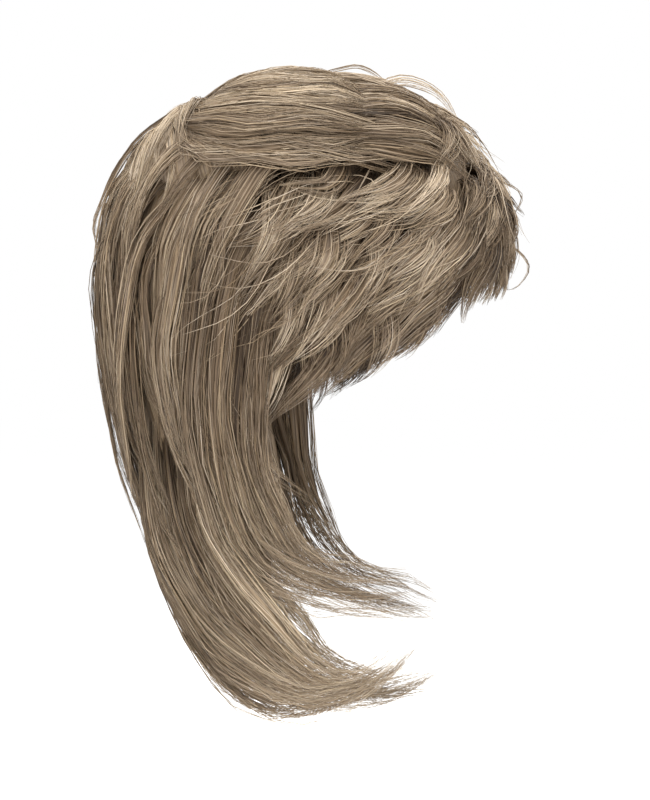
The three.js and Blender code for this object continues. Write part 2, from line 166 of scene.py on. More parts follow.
# Sheets of hair below the locks, which close the view through them; their dark tone is painted shade of the
# hair in depth. Ridge brings a sheet's middle outwards, over a share of its half width.
Sheet = namedtuple("Sheet", "columns first last along depth ridge", defaults=(0.0,))
BANGS_SHEET = Sheet(41, (-40, -44, -54, -66), (40, 44, 54, 66),
                    (-.38, .20, .58, .86), (.66, .70, .66, .36))
SIDE_SHEET = Sheet(31, (36, 42, 52, 66), (112, 112, 110, 106),
                   (-.26, .10, .48, .88), (.56, .50, .64, .38))
BACK_SHEET = Sheet(61, (96, 108, 115, 113), (264, 252, 245, 247),
                   (-.25, .15, .50, .90), (.60, .79, .82, .68), .07)
NAPE_SHEET = Sheet(61, (116, 110, 112, 114), (244, 250, 248, 246),
                   (-.06, .26, .54, .84), (.14, .26, .42, .56))
RIDGE_REACH = 0.16

# A sheet keeps each third step of its curves. It ends ragged, by up to a share of the way, and its top is
# darker by "root" down to "root end", as painted shade under the locks above. Its two faces lie apart in the
# streaks.
SHEET = {
    "skip": 3, "thick": 1.2, "tone": 0.40, "ragged": 0.22, "root": 0.12, "root end": 0.4, "faces": (1.0, 7.0),
}

# Falls of long locks that end in the sweeps round the neck, between an upper and a lower lock. Left is 1
# where the left one goes further, late moves roots by up to that share of the way to the second point, and
# tone is added to the style's.
Fall = namedtuple("Fall", "locks strands width thick left late upper lower tone", defaults=(0.0,))
Path = namedtuple("Path", "azimuth level depth")
BACK_FALLS = [
    Fall(
        15, 24, 15, 7, 1, 0,
        Path((90, 96, 103, 107, 106, 101, 92, 72, 47), (3.6, 4.7, 5.8, 7.0, 8.2, 8.95, 9.42, 9.66, 9.76),
             (.46, .80, .88, .92, .84, .74, .68, .62, .56)),
        Path((106, 113, 119, 124, 122, 115, 96, 73, 48), (3.6, 4.6, 5.6, 7.3, 8.8, 9.75, 10.1, 10.25, 10.2),
             (.46, .84, .94, .96, .92, .86, .78, .70, .64)),
    ),
]
NAPE_FALLS = [
    Fall(
        9, 25, 16, 6, 1, 0,
        Path((124, 126, 124, 120, 116), (7.2, 8.4, 9.2, 9.65, 9.9), (.60, .74, .84, .84, .82)),
        Path((140, 138, 132, 123, 113), (7.4, 8.8, 9.8, 10.4, 10.75), (.60, .82, .92, .92, .88)),
    ),
    Fall(
        17, 25, 16, 7, 1, 0,
        Path((140, 136, 127, 117, 109, 97, 82, 62), (7.4, 8.8, 9.7, 10.3, 10.8, 11.15, 11.3, 11.0),
             (.60, .84, .92, .90, .88, .86, .84, .82)),
        Path((176, 173, 164, 144, 113, 86, 64, 46), (7.4, 9.0, 10.5, 11.35, 11.7, 11.6, 11.3, 10.9),
             (.60, .94, 1.0, .99, .97, .95, .93, .90)),
    ),
]
# How far locks spill past those two, and how much further tips go on the left
FALL_SPILL = 0.06
LEFT_TIP = {"forward": 20.0, "down": 0.4}

# Bands of locks that run forward round both sides of the crown, between an upper and a lower lock
CROWN_BANDS = [
    Fall(
        24, 22, 15, 7, 0, .8,
        Path((178, 148, 114, 82, 60, 46), (1.8, 1.45, 1.4, 1.45, 1.55, 1.75), (.76, .88, .95, .98, .93, .70)),
        Path((154, 138, 119, 96, 70, 50), (2.5, 3.1, 3.5, 3.55, 3.5, 3.45), (.70, .90, 1.0, 1.01, .97, .82)),
    ),
    Fall(
        14, 22, 14, 6, 0, .25,
        Path((80, 60, 38, 18), (1.8, 1.9, 2.3, 2.95), (.70, .91, 1.02, 1.04)),
        Path((90, 72, 52, 34), (3.2, 3.35, 3.65, 4.15), (.68, .93, 1.04, 1.05)),
        -.08,
    ),
]

# Locks of the crown, from the whorl to their tips. First and last are the tips' azimuths, along counts the
# way there as seen from above, rise lifts the tips by levels, bow carries the lock outwards on its way, and
# tone is added to the crown's.
CrownTier = namedtuple(
    "CrownTier", "locks strands width thick first last along depth rise bow tone", defaults=(0.0,),
)
CROWN_TIERS = [
    CrownTier(30, 24, 14, 6, 122, 238, (-.10, .24, .62, 1.04), (.68, .82, .93, .99), 0.0, 8, .07),
    CrownTier(12, 20, 13, 6, 128, 232, (-.04, .09, .25, .42), (.76, .87, .93, .95), 0.0, 8, .05),
    CrownTier(16, 24, 14, 6, -27, 27, (.52, .70, .89, 1.08), (.78, .88, .95, .96), 0.1, 20, -.04),
    CrownTier(9, 24, 14, 6, -22, 22, (.36, .58, .80, 1.04), (.80, .92, .98, 1.0), 0.1, 8, -.04),
    CrownTier(16, 25, 15, 6, -25, 25, (.00, .26, .54, .80), (.76, .90, .96, .84), 0.4, 24),
]
# Locks over the front of the crown's sheet
CROWN_FRONT = [
    CrownTier(6, 24, 15, 6, -19, 27, (.68, .83, .97, 1.12), (.76, .90, .95, .93), 0.1, 14, -.04),
]
# The crown's sheet, with columns in the place of locks
CROWN_SHEET = CrownTier(73, 0, 0, 0, -180, 180, (.04, .34, .66, .90, 1.0), (.70, .84, .88, .86, .68), 0.6, 12)
# How far roots stray round the whorl, and how soon along the way that ends
WHORL_SPREAD = 16.0
WHORL_FADE = 3.0

# Stray locks that stand off the outline: strands, width, then points
Stray = namedtuple("Stray", "strands width points")
CROWN_STRAYS = [
    Stray(16, 18, ((-6, -26, 26), (-8, -38, 36), (-9, -53, 40), (-9, -71, 31), (-8, -84, 9))),
    Stray(6, 8, ((-4, 2, 44), (-4, -11, 47), (-4, -23, 48), (-4, -35, 42), (-4, -42, 32))),
]
BANGS_STRAYS = [
    Stray(4, 5, ((-8, -88, -10), (-8, -104, -18), (-8, -119, -27), (-8, -113, -38), (-8, -100, -34))),
    Stray(4, 5, ((6, -98, -52), (6, -114, -58), (6, -124, -71), (6, -116, -82), (6, -103, -84))),
]
BACK_STRAYS = [
    Stray(22, 16, ((-10, 82, 25), (-12, 112, 0), (-13, 132, -38), (-12, 135, -54), (-10, 130, -72))),
]

# How far locks stray from their even places, and how their lengths differ
EVEN_SHIFT = 0.4
SCATTER = {"azimuth": 4.5, "along": 0.05, "depth": 0.035, "rise": 0.14, "stray": 0.5}
SCATTER_WAY = (-0.3, 1.3)
CROWN_SCATTER = 0.7
LEAST_DEPTH = 0.05
LENGTHS = (0.80, 1.05)
LONGEST = 1.03

# How locks bend: their wave, the curl and hook of their tips, and the flick that lifts these
WAVE = {"reach": 3.2, "length": 70.0, "pace": (0.6, 1.3), "onset": 0.7, "size": (0.4, 1.2)}
CURL = 7.0
HOOK = (0.5, 1.45)
FLICK = {"from": 0.55, "over": 0.45, "power": 1.6, "size": (-0.3, 1.5)}

# A lock's width along its length
LOCK_ROOT_SHARE = 0.55
LOCK_TIP_SHARE = 0.12
LOCK_BELLY = 0.4
LOCK_NARROWING = 1.4
LOCK_SIZES = (0.6, 1.35)

# Points on a lock's curve: those that are kept, and those that it is measured by
GUIDE_STEPS = 33
FINE_STEPS = 120

# The body of a lock, closed and streaked, on which its strands lie; it is darker than the strands by
# "darker", as painted shade inside the lock
BODY = {"sides": 6, "steps": 8, "wide": 0.58, "thick": 0.42, "tip": 0.03, "end": 0.7, "darker": 0.14}

# Strands: their form, and where they start, end and lie in a lock
STRAND_SIDES = 3
STRAND_WIDTH = (0.40, 0.64)
STRAND_ROOT_SHARE = 0.6
STRAND_ROOT_END = 0.25
STRAND_TIP_SHARE = 0.25
STRAND_TIP_START = 0.55
STRAND_STEPS = 8
CROWN_STRAND_STEPS = 7
BACK_STRAND_STEPS = 10
LONG_STRAND_STEPS = 12
FALL_STRAND_STEPS = 14
STRAND_START = (0, 0.14)
STRAND_END = (0.7, 1.02)
STRAND_REACH = (0.35, 1.15)
STRAND_CROWDING = 0.7
STRAND_ARC = (-0.35, 3.5)
TWIST = {"spread": 0.5, "centre": 0.3}
FRIZZ = {"reach": 0.7, "length": 46.0, "pace": (0.5, 1.3), "outwards": 0.6}
FLYAWAYS = {"share": 0.035, "reach": 3.4}

# Colours of the hair by tone, from lowlights to highlights (linear)
HAIR_TONES = (
    (0.0, (0.040, 0.024, 0.013)),
    (0.3, (0.165, 0.112, 0.069)),
    (0.55, (0.330, 0.245, 0.166)),
    (0.8, (0.520, 0.412, 0.298)),
    (1.0, (0.680, 0.550, 0.415)),
)
# Tints laid over those colours strand by strand, from ash to gold
HAIR_TINTS = ((0.35, (0.96, 1.0, 1.06)), (0.65, (1.0, 0.98, 0.89)))

# How tones differ by lock and strand; painted light on a lock's outer strands and painted shade on its inner
# ones;
# how far the painted root shade and the lighter tip reach; and the painted highlight near a lock's widest
# part
TONE_SPREAD = {"lock": 0.15, "strand": 0.08}
OUTSIDE_PAINTED_LIGHT = 0.05
TONE_ROOT_END = 0.48
TONE_TIP_START = 0.5
TONE_PAINTED_HIGHLIGHT = {"mean": 0.09, "spread": 0.09, "from": 0.45, "to": 0.75, "reach": 0.2}

# How much darker locks are at their roots, as painted shade deep among the locks, and how much lighter at
# their tips, and how much this differs. The bands' tips are darker instead, as painted shade where they tuck
# under at the front.
Shade = namedtuple("Shade", "root tip")
CROWN_SHADE = Shade(0.10, 0.06)
LAYER_SHADE = Shade(0.50, 0.06)
BAND_SHADE = Shade(0.0, -0.14)
BACK_SHADE = Shade(0.12, 0.06)
FALL_SHADE = Shade(0.16, 0.28)
SHADE_SIZES = (0.5, 1.3)

# Streaks and tints in the fibre, which run along it, and its relief and shine
FIBRE_SPAN = 500
STREAKS = {"stretch": (1.0, 0.02, 1.0), "detail": 4.0, "range": (0.3, 0.7, -0.28, 0.28)}
HUES = {"stretch": (0.9, 0.004, 0.3), "detail": 1.0}
HAIR_RELIEF = (0.6, 0.0008)
HAIR_ROUGHNESS = 0.5
HAIR_SPECULAR = 0.28

# The cap's net: threads, and the holes between them painted dark as the shade seen through them
NET_SCALE = 520.0
NET_TONES_WITH_SHADED_HOLES = ((0.06, (0.16, 0.115, 0.08)), (0.2, (0.045, 0.03, 0.02)))
NET_RELIEF = (0.5, 0.0006)
NET_ROUGHNESS = 0.85

# How masses are dressed: tone, how much darker each row is as painted shade towards the lower edge, shade,
# and how much their locks wave, curl at the tip and differ in tone
Style = namedtuple("Style", "tone row shade wave curl spread")
STYLES = {
    "crown": Style(0.52, 0.0, CROWN_SHADE, 1.4, 1.4, 1.0),
    "bands": Style(0.44, 0.0, BAND_SHADE, 1.9, 0.8, 0.85),
    "crown strays": Style(0.6, 0.0, CROWN_SHADE, 0.3, 0.3, 1.0),
    "bangs": Style(0.38, 0.035, LAYER_SHADE, 1.0, 1.0, 1.0),
    "bangs strays": Style(0.4, 0.0, CROWN_SHADE, 0.3, 0.3, 1.0),
    "sides": Style(0.63, 0.115, LAYER_SHADE, 1.0, 1.0, 1.0),
    "veils": Style(0.5, 0.0, CROWN_SHADE, 1.4, 1.4, 1.0),
    "back": Style(0.42, 0.042, BACK_SHADE, 1.0, 1.0, 0.55),
    "back falls": Style(0.38, 0.0, FALL_SHADE, 0.8, 0.8, 0.55),
    "back strays": Style(0.5, 0.0, CROWN_SHADE, 0.3, 0.3, 1.0),
    "nape": Style(0.44, 0.042, BACK_SHADE, 1.0, 1.0, 0.55),
    "nape falls": Style(0.44, 0.0, FALL_SHADE, 0.8, 0.8, 0.55),
}
# The lowest rows of a mass, which curl less
EDGE_ROWS = 3
EDGE_CURL = 0.4
SEEDS = {"crown": 11, "bangs": 12, "right": 13, "left": 14, "back": 15, "nape": 16}

# Where tubes lie on the bake's map: a band for each kind, and in a tube's cell its walls, by start and span,
# and its ends, by middle and reach
MAP_BANDS = {"strand": (0.0, 0.56), "body": (0.57, 0.86), "sheet": (0.87, 1.0)}
MAP_WALL = ((0.06, 0.88), (0.12, 0.76))
MAP_END = ((0.5, 0.4), (0.05, 0.035))

# Studio and camera
PHOTO_DISTANCE = 2.0
PHOTO_CENTRE = (-1.8, -150.0)
LENS = 150.0
SENSOR = 36.0
FLOOR_LEVEL = -0.42
FLOOR_RADIUS = 40.0
FLOOR_CORNERS = 96
Lamp = namedtuple("Lamp", "name place size power")
LAMPS = [
    Lamp("key", (-1.7, -0.5, 1.6), 1.2, 32),
    Lamp("fill", (-1.6, 1.5, 1.0), 1.6, 10),
    Lamp("top", (0.0, 0.1, 1.8), 1.4, 26),
    Lamp("far", (1.7, -0.5, 0.8), 1.4, 10),
]
LAMP_TARGET = (0, 0, -0.12)


def cap_sections(inset):
    """The sections of the cap's wall and of the neck's room below it, level by level."""
    rows = []
    for level in range(DOME_LEVELS + 1):
        polar = level / DOME_LEVELS * math.pi / 2
        grown = CAP_WALL - inset
        length = (HEAD_HALF_LENGTH + grown) * math.sin(polar)
        rows.append(Section(
            (HEAD_RISE + grown) * math.cos(polar) - HEAD_RISE, 0,
            (HEAD_HALF_BREADTH + grown) * math.sin(polar), length, length,
        ))
    below = [Section(s.z, 0, s.half - inset, s.front - inset, s.back - inset) for s in CORE_BELOW]
    return np.array(rows + below, float)


CORE_SECTIONS = cap_sections(0)


def smooth_between(a, b, c, d, t):
    """Between b and c on a smooth curve that comes from a and goes on to d."""
    return b + 0.5 * t * (c - a + t * (2 * a - 5 * b + 4 * c - d + t * (3 * (b - c) + d - a)))


def section_at(table, level):
    """The sections at any levels, on a smooth curve through the whole ones and mirrored above the top."""
    first = np.floor(level).astype(int)
    rows = []
    for step in (-1, 0, 1, 2):
        index = first + step
        row = table[np.minimum(np.abs(index), len(table) - 1)].copy()
        row[..., 2:] *= np.where(index < 0, -1.0, 1.0)[..., None]
        rows.append(row)
    return smooth_between(*rows, (level - first)[..., None])


def on_section(section, azimuth):
    """The points of sections at azimuths."""
    angle = np.radians(azimuth)
    z, centre, half, front, back = np.moveaxis(section, -1, 0)
    reach = np.where(np.cos(angle) > 0, front, back)
    return np.stack([half * np.sin(angle), centre - reach * np.cos(angle), z], -1)


def hair_point(azimuth, level, depth):
    """The points at azimuths, levels and depths of the hair."""
    azimuth, level, depth = np.broadcast_arrays(*(np.asarray(v, float) for v in (azimuth, level, depth)))
    core = on_section(section_at(CORE_SECTIONS, level), azimuth)
    outer = on_section(section_at(HAIR_SECTIONS, level), azimuth)
    return core + (outer - core) * depth[..., None]


def crown_point(x, y, depth):
    """The points of the crown's dome that lie over x and y when seen from above."""
    low, high = np.zeros(x.shape), np.full(x.shape, float(DOME_LEVELS))
    azimuth = np.zeros(x.shape)
    for _ in range(LEVEL_HALVINGS):
        level = (low + high) / 2
        _, centre, half, front, back = np.moveaxis(section_at(HAIR_SECTIONS, level), -1, 0)
        ahead = (centre - y) / np.where(y < centre, front, back)
        aside = x / half
        azimuth = np.degrees(np.arctan2(aside, ahead))
        outside = np.hypot(aside, ahead) > 1
        low, high = np.where(outside, level, low), np.where(outside, high, level)
    return hair_point(azimuth, low, depth)


def edge_level(edge, azimuth):
    """The level of an edge at azimuths. Both sides of the face are alike."""
    turn = np.abs((azimuth + 180) % 360 - 180)
    return np.interp(turn, *edge)


def unit(vectors):
    """Vectors at length one."""
    return vectors / np.maximum(np.linalg.norm(vectors, axis=-1, keepdims=True), 1e-9)


def outwards(points):
    """Away from the head: straight out from its middle, or level and out from the neck."""
    middle = np.zeros(points.shape)
    middle[..., 2] = np.minimum(points[..., 2], -HEAD_RISE)
    return unit(points - middle)


def lengths(paths):
    """The length of each path."""
    return np.linalg.norm(np.diff(paths, axis=1), axis=-1).sum(1)


def smooth_curves(points):
    """Smooth curves through rows of points, at even steps along each."""
    start, end = 2 * points[:, :1] - points[:, 1:2], 2 * points[:, -1:] - points[:, -2:-1]
    padded = np.concatenate([start, points, end], 1)
    place = np.linspace(0, points.shape[1] - 1, FINE_STEPS)
    first = np.minimum(place.astype(int), points.shape[1] - 2)
    fine = smooth_between(*(padded[:, first + step] for step in range(4)), (place - first)[None, :, None])
    steps = np.linalg.norm(np.diff(fine, axis=1), axis=-1)
    curves = np.empty((len(points), GUIDE_STEPS, 3))
    for curve, line, step in zip(curves, fine, steps):
        gone = np.concatenate([[0], np.cumsum(step)])
        even = np.linspace(0, gone[-1], GUIDE_STEPS)
        for axis in range(3):
            curve[:, axis] = np.interp(even, gone, line[:, axis])
    return curves


Locks = namedtuple("Locks", "path across out width thick tone strands shade belly")


def frames(path):
    """The directions across each path and out of the head."""
    tangent = unit(np.gradient(path, axis=1))
    across = unit(np.cross(tangent, outwards(path)))
    return across, np.cross(across, tangent)


def make_locks(rng, points, width, thick, strands, style, flick=0.0):
    """Locks along smooth curves through the points, each with a wave, curl and flick of its own."""
    path = smooth_curves(points)
    across, out = frames(path)
    count = len(path)
    length = lengths(path)
    share = np.linspace(0, 1, GUIDE_STEPS)[None]
    turns = 2 * np.pi * length[:, None] / WAVE["length"] * share * rng.uniform(*WAVE["pace"], (count, 1))
    sway = np.sin(turns + rng.uniform(0, 2 * np.pi, (count, 1))) * share ** WAVE["onset"] * WAVE["reach"]
    sway = sway * rng.uniform(*WAVE["size"], (count, 1)) * style.wave
    sway = sway + share ** 2 * rng.normal(0, CURL, (count, 1)) * style.curl
    lift = np.clip((share - FLICK["from"]) / FLICK["over"], 0, 1) ** FLICK["power"] * flick
    lift = lift * rng.uniform(*FLICK["size"], (count, 1))
    path = path + across * sway[..., None] + out * (lift * style.wave)[..., None]
    across, out = frames(path)
    size = rng.uniform(*LOCK_SIZES, count)
    tones = style.tone + rng.normal(0, TONE_SPREAD["lock"], count) * style.spread
    # Painted shade at each lock's root and a lighter tip, sized lock by lock
    shades = np.array(style.shade) * rng.uniform(*SHADE_SIZES, (count, 1))
    # A painted highlight on each lock: how strong it is and where along the lock it lies
    belly = np.stack([
        rng.normal(TONE_PAINTED_HIGHLIGHT["mean"], TONE_PAINTED_HIGHLIGHT["spread"], count) * style.spread,
        rng.uniform(TONE_PAINTED_HIGHLIGHT["from"], TONE_PAINTED_HIGHLIGHT["to"], count),
    ], -1)
    return Locks(path, across, out, width * size, thick * size, tones, np.full(count, strands), shades, belly)


def even_shares(rng, locks, gather=1.0):
    """Shares from 0 to 1, each moved a little from its even place and all gathered towards the middle."""
    share = (np.arange(locks) + rng.uniform(-EVEN_SHIFT, EVEN_SHIFT, locks)) / (locks - 1)
    return 0.5 + 0.5 * np.sign(share - 0.5) * np.abs(2 * share - 1) ** gather


def tier_points(rng, tier, top, bottom, sign):
    """Points of a tier's locks, spread from its first azimuths to its last ones and scattered."""
    first, last = np.array(tier.first, float), np.array(tier.last, float)
    locks = tier.locks
    azimuth = first + (last - first) * even_shares(rng, locks, tier.gather)[:, None]
    azimuth = azimuth[:, :1] + (azimuth - azimuth[:, :1]) * rng.uniform(*HOOK, (locks, 1))
    azimuth = azimuth + rng.normal(0, SCATTER["azimuth"], (locks, 1)) * np.linspace(*SCATTER_WAY, len(first))
    along = np.array(tier.along)
    along = along[0] + (along - along[0]) * rng.uniform(*LENGTHS, (locks, 1))
    along = np.minimum(along + rng.normal(0, SCATTER["along"], (locks, 1)), LONGEST)
    depth = np.array(tier.depth) + rng.normal(0, SCATTER["depth"], (locks, 1))
    upper, lower = edge_level(top, azimuth), edge_level(bottom, azimuth)
    return hair_point(sign * azimuth, upper + (lower - upper) * along, np.maximum(depth, LEAST_DEPTH))


def sheet_points(rng, sheet, top, bottom, sign):
    """Points of a sheet's columns, spread evenly from first to last, each of a length of its own."""
    first, last = np.array(sheet.first, float), np.array(sheet.last, float)
    azimuth = first + (last - first) * np.linspace(0, 1, sheet.columns)[:, None]
    shorter = rng.uniform(0, SHEET["ragged"], (sheet.columns, 1)) * np.linspace(0, 1, len(first))
    upper, lower = edge_level(top, azimuth), edge_level(bottom, azimuth)
    level = upper + (lower - upper) * (np.array(sheet.along) - shorter)
    ridge = np.exp(-(np.linspace(-1, 1, sheet.columns)[:, None] / RIDGE_REACH) ** 2) * sheet.ridge
    return hair_point(sign * azimuth, level, np.array(sheet.depth) + ridge)


def fall_points(rng, fall, sign):
    """Points of a fall's locks, spread between its upper and its lower lock and a little past them."""
    share = (-FALL_SPILL + even_shares(rng, fall.locks) * (1 + 2 * FALL_SPILL))[:, None]
    azimuth, level, depth = (
        np.array(a) + (np.array(b) - np.array(a)) * share for a, b in zip(fall.upper, fall.lower)
    )
    past = np.linspace(0, 1, azimuth.shape[1]) * (sign > 0) * fall.left
    azimuth = azimuth - past * LEFT_TIP["forward"] + rng.normal(0, SCATTER["azimuth"] / 2, (fall.locks, 1))
    level = level + past ** 2 * LEFT_TIP["down"]
    depth = depth + rng.normal(0, SCATTER["depth"], (fall.locks, 1))
    late = rng.uniform(0, fall.late, fall.locks)
    for values in (azimuth, level, depth):
        values[:, 0] += (values[:, 1] - values[:, 0]) * late
    return hair_point(sign * azimuth, level, np.maximum(depth, LEAST_DEPTH))


def crown_way(tier, azimuth, rise, along, depth, stir):
    """Points on the way from the whorl to the crown's edge, bowed away from the middle."""
    tip = hair_point(azimuth, edge_level(CROWN_TIPS, azimuth) - rise, 1.0)
    bow = np.sin(np.clip(along, 0, 1) * np.pi) * tier.bow * np.sin(np.radians(azimuth))
    near = np.clip(1 - along * WHORL_FADE, 0, 1)[..., None] * stir
    x = tip[..., 0] * along + bow + near[..., 0]
    y = WHORL_Y + (tip[..., 1] - WHORL_Y) * along + near[..., 1]
    return crown_point(x, y, depth)


def crown_points(rng, tier):
    """Points of the crown's locks, which fan out of the whorl."""
    locks = tier.locks
    azimuth = (tier.first + (tier.last - tier.first) * even_shares(rng, locks))[:, None]
    rise = tier.rise + rng.normal(0, SCATTER["rise"], (locks, 1))
    along = np.array(tier.along)
    along = along[0] + (along - along[0]) * rng.uniform(*LENGTHS, (locks, 1))
    depth = np.array(tier.depth) + rng.normal(0, SCATTER["depth"], (locks, 1)) * CROWN_SCATTER
    return crown_way(tier, azimuth, rise, along, depth, rng.normal(0, WHORL_SPREAD, (locks, 1, 2)))


def crown_sheet_points(sheet):
    """Points of the columns of the crown's sheet, all round the whorl."""
    azimuth = np.linspace(sheet.first, sheet.last, sheet.locks)[:, None]
    along = np.broadcast_to(np.array(sheet.along), (sheet.locks, len(sheet.along)))
    return crown_way(sheet, azimuth, sheet.rise, along, np.array(sheet.depth), np.zeros((sheet.locks, 1, 2)))


def stray_points(rng, stray):
    """Points of a stray lock, as a single row."""
    return np.array(stray.points, float)[None] + rng.normal(0, SCATTER["stray"], (1, len(stray.points), 3))


def lock_taper(t, tip=LOCK_TIP_SHARE):
    """Width of a lock along its length, as a share of its widest."""
    rise = LOCK_ROOT_SHARE + (1 - LOCK_ROOT_SHARE) * np.sin(np.clip(t / LOCK_BELLY, 0, 1) * np.pi / 2)
    past = np.clip((t - LOCK_BELLY) / (1 - LOCK_BELLY), 0, 1) ** LOCK_NARROWING
    return np.where(t < LOCK_BELLY, rise, 1 + (tip - 1) * past)


def tone_along(t, shade, belly):
    """Painted shade at a lock's root, a lighter tip, and a painted highlight where the lock would catch the
    light.
    """
    root = np.interp(t, (0, TONE_ROOT_END), (1, 0)) * shade[:, :1]
    tip = np.interp(t, (TONE_TIP_START, 1), (0, 1)) * shade[:, 1:]
    return tip - root + belly[:, :1] * np.exp(-((t - belly[:, 1:]) / TONE_PAINTED_HIGHLIGHT["reach"]) ** 2)


def strand_taper(t):
    """Width of a strand along its length, as a share of its widest."""
    root = np.interp(t, (0, STRAND_ROOT_END), (STRAND_ROOT_SHARE, 1))
    tip = np.interp(t, (STRAND_TIP_START, 1), (1, STRAND_TIP_SHARE))
    return np.minimum(root, tip)


Tubes = namedtuple("Tubes", "kind rings tone fibre")


def read_along(values, owner, t):
    """The values of the owners' paths at shares of their way."""
    place = np.clip(t, 0, 1) * (GUIDE_STEPS - 1)
    first = np.minimum(place.astype(int), GUIDE_STEPS - 2)
    part = (place - first)[..., None]
    row = owner[:, None]
    return values[row, first] * (1 - part) + values[row, first + 1] * part


def ring_tubes(points, across, out, half_width, half_thick, sides, turn):
    """Rings of points round lines, as wide and thick as said at each."""
    angle = turn[:, None, None] + np.arange(sides) * 2 * np.pi / sides
    aside = (np.cos(angle) * half_width[..., None])[..., None] * across[:, :, None]
    outside = (np.sin(angle) * half_thick[..., None])[..., None] * out[:, :, None]
    return points[:, :, None] + aside + outside


def strand_tubes(rng, locks, steps):
    """The strands of locks: thin tapered tubes that keep together towards a lock's tip."""
    owner = np.repeat(np.arange(len(locks.path)), locks.strands)
    count = len(owner)
    reach, angle = rng.uniform(*STRAND_REACH, count) ** STRAND_CROWDING, rng.uniform(*STRAND_ARC, count)
    aside, outside = reach * np.cos(angle), reach * np.sin(angle)
    start, end = rng.uniform(*STRAND_START, count), rng.uniform(*STRAND_END, count)
    share = np.linspace(0, 1, steps + 1)[None]
    t = start[:, None] + (end - start)[:, None] * share
    path, across, out = (read_along(v, owner, t) for v in (locks.path, locks.across, locks.out))
    taper = lock_taper(t)
    twist = rng.normal(0, TWIST["spread"], count)[:, None] * (t - TWIST["centre"])
    u = aside[:, None] * np.cos(twist) - outside[:, None] * np.sin(twist)
    v = aside[:, None] * np.sin(twist) + outside[:, None] * np.cos(twist)
    wild = np.where(rng.random(count) < FLYAWAYS["share"], FLYAWAYS["reach"], FRIZZ["reach"])
    length = lengths(path)
    bend = []
    for _ in range(2):
        turns = 2 * np.pi * length / FRIZZ["length"] * rng.uniform(*FRIZZ["pace"], count)
        phase = rng.uniform(0, 2 * np.pi, count)
        bend.append(np.sin(turns[:, None] * share + phase[:, None]) * wild[:, None] * share)
    shift_across = u * taper * locks.width[owner][:, None] / 2 + bend[0]
    shift_out = v * taper * locks.thick[owner][:, None] / 2 + bend[1] * FRIZZ["outwards"]
    points = path + across * shift_across[..., None] + out * shift_out[..., None]
    across, out = frames(points)
    half = rng.uniform(*STRAND_WIDTH, count)[:, None] / 2 * strand_taper(share)
    rings = ring_tubes(points, across, out, half, half, STRAND_SIDES, rng.uniform(0, 2 * np.pi, count))
    # Strands on a lock's outer side are lighter and those inside darker: painted light and painted shade
    tone = locks.tone[owner] + rng.normal(0, TONE_SPREAD["strand"], count) + OUTSIDE_PAINTED_LIGHT * outside
    fibre = np.zeros(rings.shape)
    fibre[..., 0] = rng.uniform(0, FIBRE_SPAN, count)[:, None, None]
    fibre[..., 1] = (length[:, None] * share)[:, :, None]
    tone = tone[:, None] + tone_along(t, locks.shade[owner], locks.belly[owner])
    return Tubes("strand", rings, tone, fibre)


def body_tubes(rng, locks):
    """The bodies of locks: flat closed bundles, pointed at the tip."""
    count, steps, sides = len(locks.path), BODY["steps"], BODY["sides"]
    owner = np.arange(count)
    t = np.broadcast_to(np.linspace(0, BODY["end"], steps + 1), (count, steps + 1))
    path, across, out = (read_along(v, owner, t) for v in (locks.path, locks.across, locks.out))
    taper = lock_taper(t / BODY["end"], BODY["tip"])
    half = taper * locks.width[:, None] / 2 * BODY["wide"]
    thick = taper * locks.thick[:, None] / 2 * BODY["thick"]
    rings = ring_tubes(path, across, out, half, thick, sides, np.zeros(count))
    length = lengths(path)
    fibre = np.zeros(rings.shape)
    angle = np.arange(sides) * 2 * np.pi / sides
    fibre[..., 0] = rng.uniform(0, FIBRE_SPAN, count)[:, None, None] + np.cos(angle) * half[..., None]
    fibre[..., 1] = (length[:, None] * np.linspace(0, 1, steps + 1))[:, :, None]
    fibre[..., 2] = np.sin(angle)
    # The body is darker than its strands: painted shade inside the lock
    tone = locks.tone[:, None] - BODY["darker"] + tone_along(t, locks.shade, locks.belly)
    return Tubes("body", rings, tone, fibre)


def sheet_tube(points):
    """A thin streaked sheet through columns of points, as one flat closed tube."""
    path = smooth_curves(points)[:, ::SHEET["skip"]]
    across, out = frames(path)
    if np.sum(np.diff(path, axis=0) * across[:-1]) > 0:
        path, out = path[::-1], out[::-1]
    ring = np.concatenate([path, (path - out * SHEET["thick"])[::-1]])
    rings = ring.transpose(1, 0, 2)[None]
    middle = path[:, path.shape[1] // 2]
    aside = np.concatenate([[0], np.cumsum(np.linalg.norm(np.diff(middle, axis=0), axis=-1))])
    length = lengths(path).mean()
    fibre = np.zeros(rings.shape)
    fibre[..., 0] = np.concatenate([aside, aside[::-1]])
    fibre[..., 1] = np.linspace(0, length, rings.shape[1])[:, None]
    fibre[..., 2] = np.repeat(SHEET["faces"], len(path))
    share = np.linspace(0, 1, rings.shape[1])[None]
    # The sheet's dark tone, darker still at its top: painted shade under the locks above
    tone = SHEET["tone"] - np.interp(share, (0, SHEET["root end"]), (SHEET["root"], 0))
    return Tubes("sheet", rings, tone, fibre)


def tube_faces(first, shape):
    """Vertex numbers of the sides and ends of tubes, pointing outwards."""
    tubes, rings, sides = shape
    number = first + np.arange(tubes * rings * sides).reshape(shape)
    beside = np.roll(number, -1, axis=2)
    walls = np.stack([number[:, :-1], number[:, 1:], beside[:, 1:], beside[:, :-1]], -1)
    return walls.reshape(-1, 4), np.concatenate([number[:, 0], number[:, -1, ::-1]])


